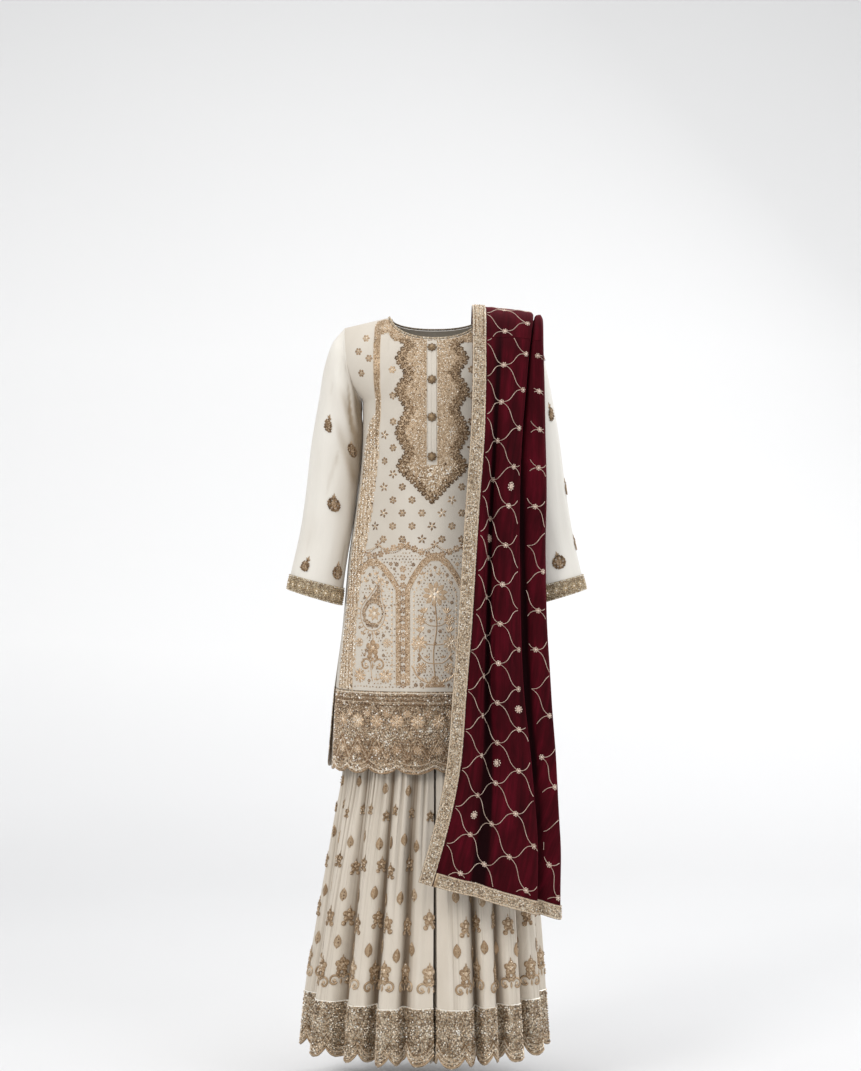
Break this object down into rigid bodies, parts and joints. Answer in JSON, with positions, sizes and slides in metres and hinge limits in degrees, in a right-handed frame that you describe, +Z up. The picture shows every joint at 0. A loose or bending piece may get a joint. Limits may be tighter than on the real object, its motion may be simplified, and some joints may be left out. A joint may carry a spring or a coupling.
{
  "type": "sharara suit",
  "caption": "Worn-form suit: straight long-sleeved embroidered kameez, flared split sharara trousers with scalloped hems, and a velvet dupatta over the left shoulder.",
  "frame": {"origin": "midway between the two neck points of the shoulders, at the level where the wearer holds the suit up", "axes": "+Z up, +X towards the wearer's left, -Y towards the front"},
  "size_m": [0.5763, 0.4646, 1.4201],
  "materials": {
    "kameez_cloth": "ivory organza over a plain lining, semi-matt with a faint sheen",
    "sleeve_cloth": "thin ivory organza, faint sheen",
    "sharara_cloth": "crinkled ivory organza in pleats",
    "gold_embroidery": "dense antique gold thread and sequin work",
    "button": "covered buttons worked in antique gold thread",
    "velvet": "deep wine velvet with a soft nap"
  },
  "bodies": {
    "root": {"kameez_front": "kameez_cloth", "kameez_back": "kameez_cloth", "kameez_border_front": "gold_embroidery", "kameez_border_back": "gold_embroidery", "neck_binding": "gold_embroidery", "placket_strip": "kameez_cloth", "button_1": "button", "button_2": "button", "button_3": "button", "button_4": "button", "sleeve_right": "sleeve_cloth", "sleeve_left": "sleeve_cloth", "cuff_right": "gold_embroidery", "cuff_left": "gold_embroidery", "sharara_waistband": "sharara_cloth", "sharara_yoke": "sharara_cloth", "sharara_leg_right": "sharara_cloth", "sharara_leg_left": "sharara_cloth", "sharara_border_right": "gold_embroidery", "sharara_border_left": "gold_embroidery", "dupatta_front": "velvet", "dupatta_shoulder": "velvet", "dupatta_back": "velvet", "dupatta_edge_front": "gold_embroidery", "dupatta_edge_shoulder": "gold_embroidery", "dupatta_edge_back": "gold_embroidery", "dupatta_hem_front": "gold_embroidery", "dupatta_hem_back": "gold_embroidery"}
  },
  "joints": []
}
